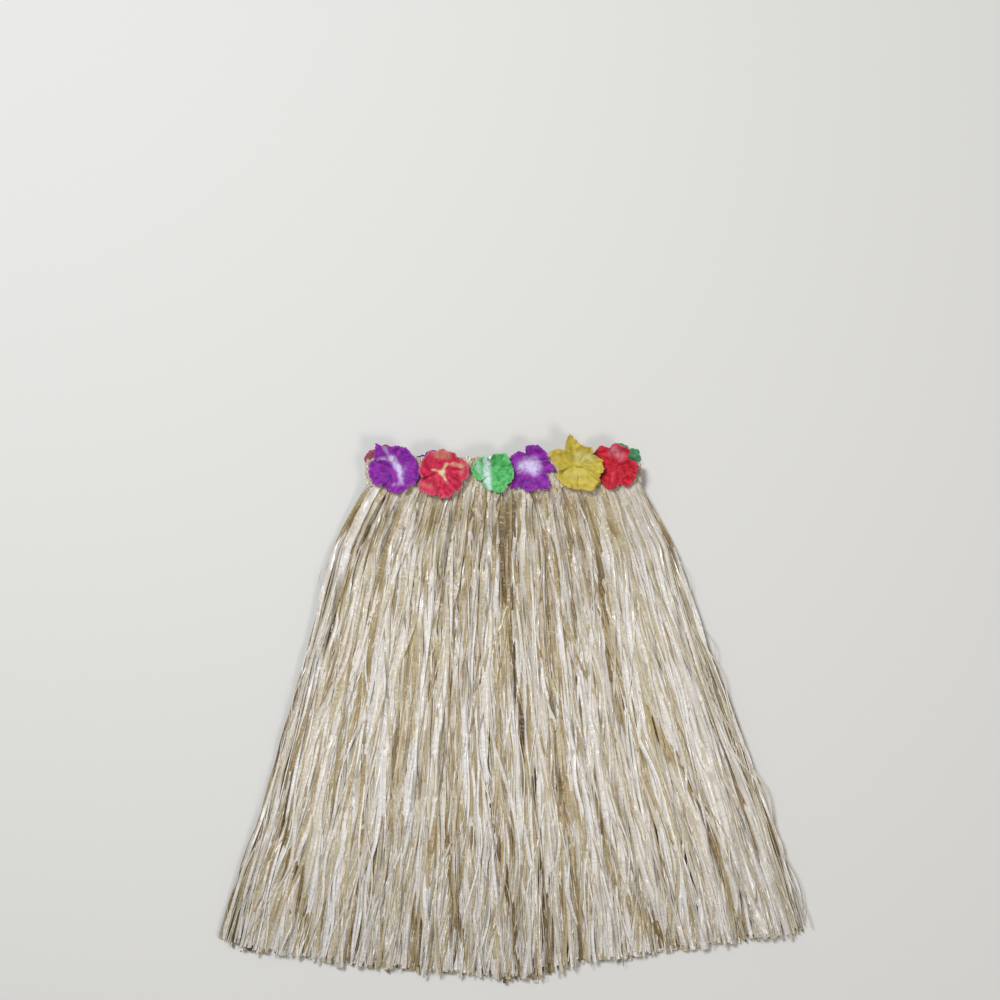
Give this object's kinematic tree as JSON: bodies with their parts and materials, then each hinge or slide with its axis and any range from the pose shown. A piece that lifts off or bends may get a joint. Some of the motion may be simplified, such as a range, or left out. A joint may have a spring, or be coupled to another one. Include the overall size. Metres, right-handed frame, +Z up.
{
  "type": "grass skirt",
  "caption": "Raffia grass skirt laid flat, a fan of long locks hanging from an elastic waistband trimmed with cloth flowers.",
  "frame": {"origin": "middle of the underside of the flat-laid skirt, on the surface it lies on", "axes": "+Z up from the surface, +Y from the hem towards the waist, +X to the right as seen from above with the waist at the top"},
  "size_m": [0.9038, 0.8428, 0.0518],
  "materials": {
    "tape": "gathered elastic tape",
    "raffia": "crinkled, half gloss raffia ribbon",
    "purple_cloth": "dyed petal cloth",
    "violet_cloth": "dyed petal cloth",
    "coral_cloth": "dyed petal cloth",
    "pink_cloth": "dyed petal cloth",
    "green_cloth": "dyed petal cloth",
    "yellow_cloth": "dyed petal cloth",
    "red_cloth": "dyed petal cloth"
  },
  "bodies": {
    "root": {"waistband_front": "tape", "waistband_back": "tape", "grass_front_outer": "raffia", "grass_front_inner": "raffia", "grass_back_inner": "raffia", "grass_back_outer": "raffia", "flower_purple_left": "purple_cloth", "flower_coral": "coral_cloth", "flower_green": "green_cloth", "flower_purple_right": "purple_cloth", "flower_yellow": "yellow_cloth", "flower_red": "red_cloth", "flower_back_pink": "pink_cloth", "flower_back_violet": "violet_cloth", "flower_back_yellow": "yellow_cloth", "flower_back_coral": "coral_cloth", "flower_back_purple": "purple_cloth", "flower_back_green": "green_cloth"}
  },
  "joints": []
}
